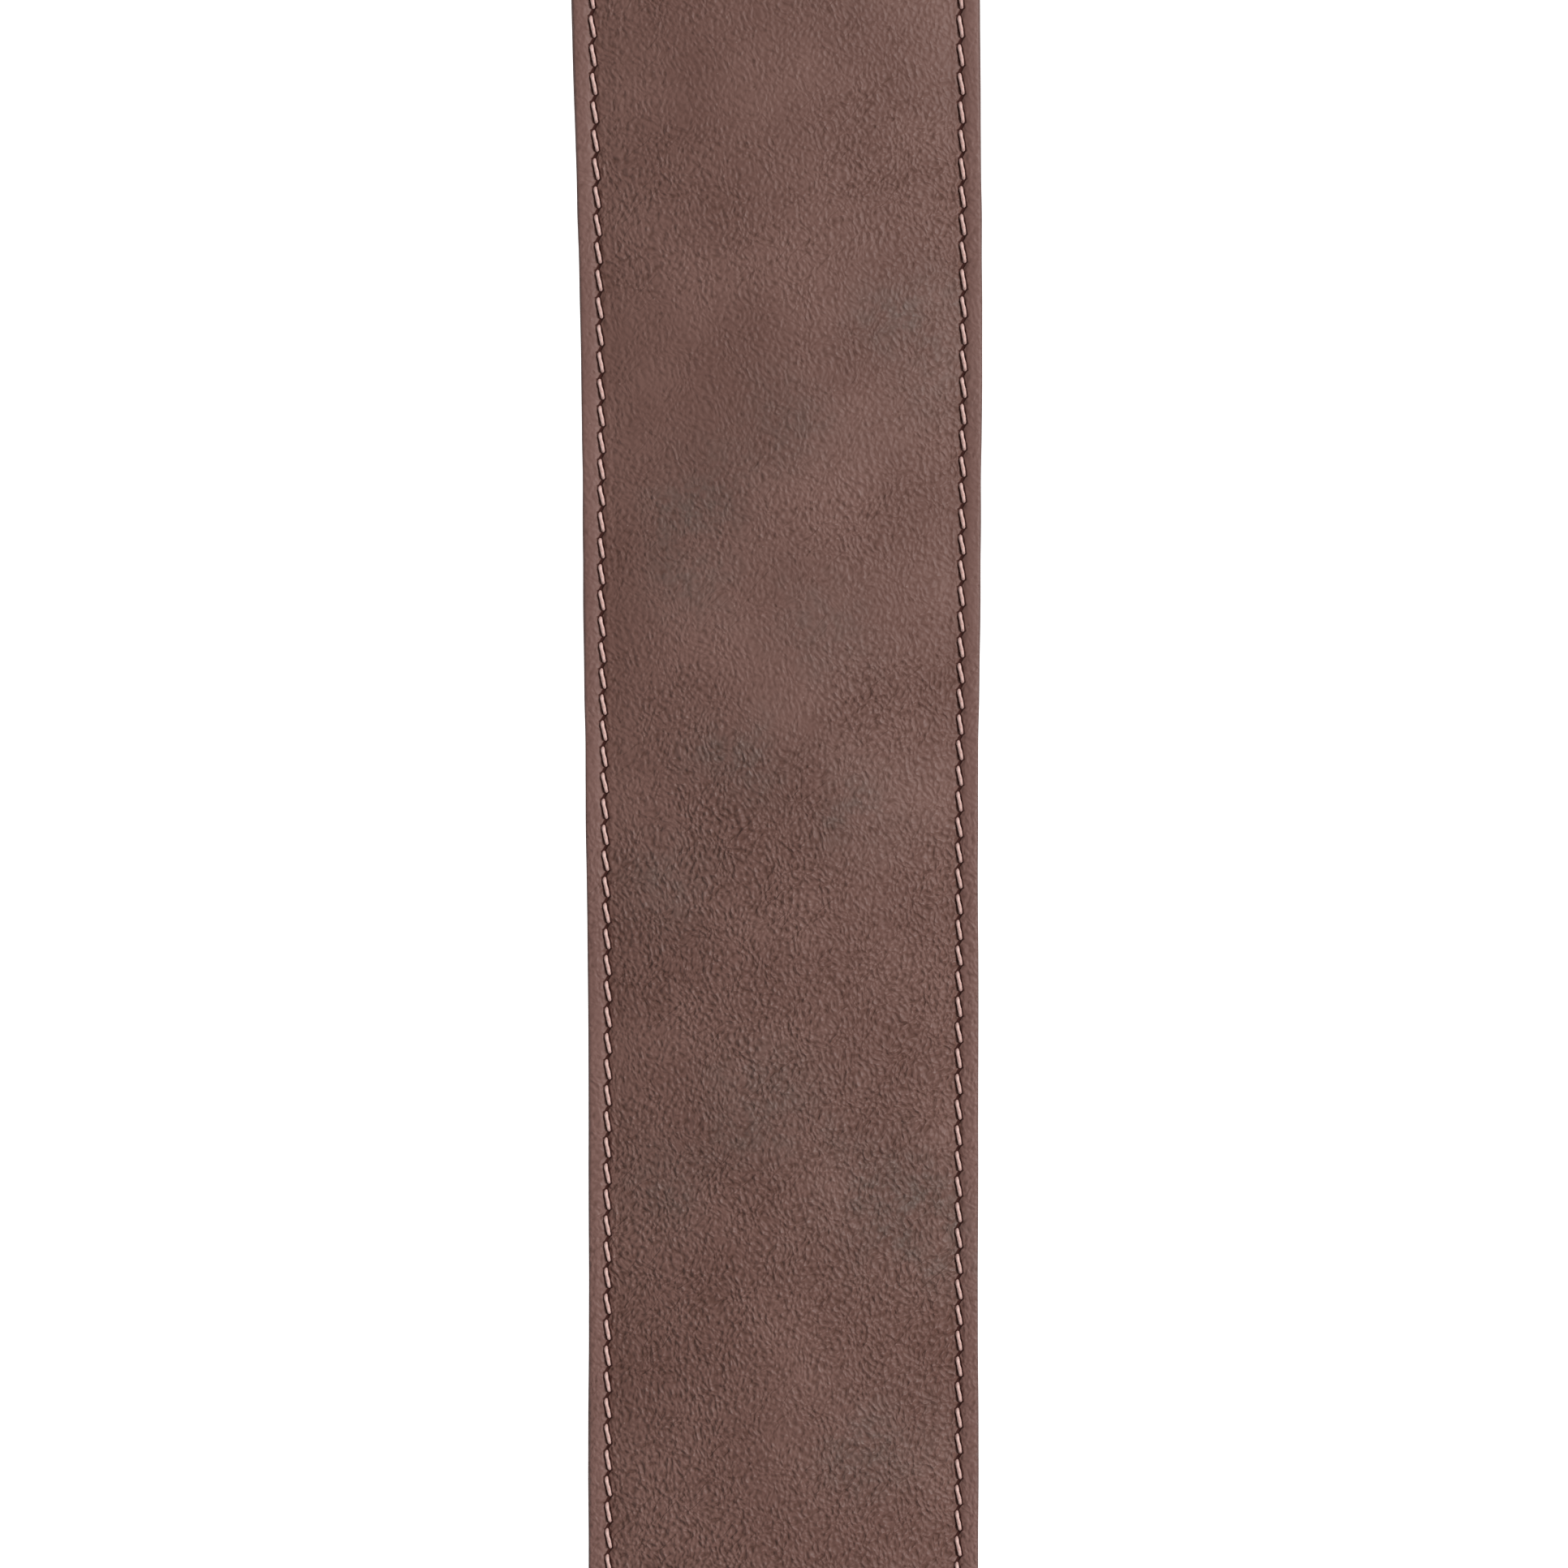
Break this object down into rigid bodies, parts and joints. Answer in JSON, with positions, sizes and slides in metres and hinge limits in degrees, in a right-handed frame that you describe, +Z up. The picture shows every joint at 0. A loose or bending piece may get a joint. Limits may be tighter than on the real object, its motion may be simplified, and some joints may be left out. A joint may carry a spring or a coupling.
{
  "type": "guitar strap",
  "caption": "Padded leather guitar strap with stitched edges, a button-hole tab at each end, and webbing with a ring and a sliding buckle that set its length.",
  "frame": {"origin": "under the middle of the strap laid out straight at its rest length, on the surface that it lies on", "axes": "+Y along the strap to its front tab, +X across it, +Z up out of its leather face"},
  "size_m": [0.0654, 1.239, 0.0101],
  "materials": {
    "face_leather": "soft grained leather, warm brown, satin",
    "foam": "closed-cell foam",
    "suede": "matt suede",
    "face_thread": "waxed thread, pale pink",
    "back_thread": "waxed thread, brown",
    "tab_leather": "thick smooth leather with burnished edges",
    "keeper_leather": "smooth leather strip",
    "webbing": "woven webbing with ribs",
    "rivet_metal": "satin nickel",
    "ring_metal": "satin nickel",
    "slider_metal": "satin nickel"
  },
  "bodies": {
    "main_strap": {"front_leather": "face_leather", "foam_pad": "foam", "backing": "suede", "front_seam_left": "face_thread", "front_seam_right": "face_thread", "back_seam_left": "back_thread", "back_seam_right": "back_thread", "front_tab_root": "tab_leather", "front_box_stitch": "face_thread", "ring_keeper": "keeper_leather", "rear_box_stitch": "face_thread", "rivet_left_cap": "rivet_metal", "rivet_left_back": "rivet_metal", "rivet_right_cap": "rivet_metal", "rivet_right_back": "rivet_metal"},
    "front_tab": {"front_tab": "tab_leather"},
    "ring": {"ring": "ring_metal"},
    "web_loop": {"webbing_turn": "webbing", "webbing_running_leg": "webbing", "webbing_anchor_leg": "webbing"},
    "slider": {"slider": "slider_metal", "webbing_anchor_fold": "webbing", "webbing_bridge": "webbing"},
    "tail": {"webbing_tail": "webbing", "webbing_tail_stub": "webbing"},
    "rear_tab": {"webbing_tab_end": "webbing", "rear_tab_front": "tab_leather", "rear_tab_back": "tab_leather", "rear_tab_thread": "back_thread"}
  },
  "joints": [
    {"name": "front_tab_flex", "type": "hinge", "parent": "main_strap", "child": "front_tab", "pos_m": [0, 0.5695, 0.00235], "axis": [1, 0, 0], "range_deg": [-75, 75], "stiffness_Nm_per_rad": 0.02},
    {"name": "ring_pivot", "type": "hinge", "parent": "main_strap", "child": "ring", "pos_m": [0, -0.1715, 0.0039], "axis": [1, 0, 0], "range_deg": [-60, 60]},
    {"name": "webbing_pivot", "type": "hinge", "parent": "ring", "child": "web_loop", "pos_m": [0, -0.1875, 0.0039], "axis": [1, 0, 0], "range_deg": [-60, 60]},
    {"name": "slider_slide", "type": "slide", "parent": "web_loop", "child": "slider", "axis": [0, 1, 0], "range_m": [-0.06, 0.06], "deforming": ["webbing_running_leg", "webbing_anchor_leg"]},
    {"name": "tail_slide", "type": "slide", "parent": "slider", "child": "tail", "axis": [0, -1, 0], "range_m": [-0.12, 0.12], "deforming": ["webbing_tail"]},
    {"name": "rear_tab_flex", "type": "hinge", "parent": "tail", "child": "rear_tab", "pos_m": [0, -0.5175, 0.00225], "axis": [1, 0, 0], "range_deg": [-75, 75]}
  ],
  "couplings": [
    {"joint": "tail_slide", "follows": "slider_slide", "ratio": 2}
  ]
}
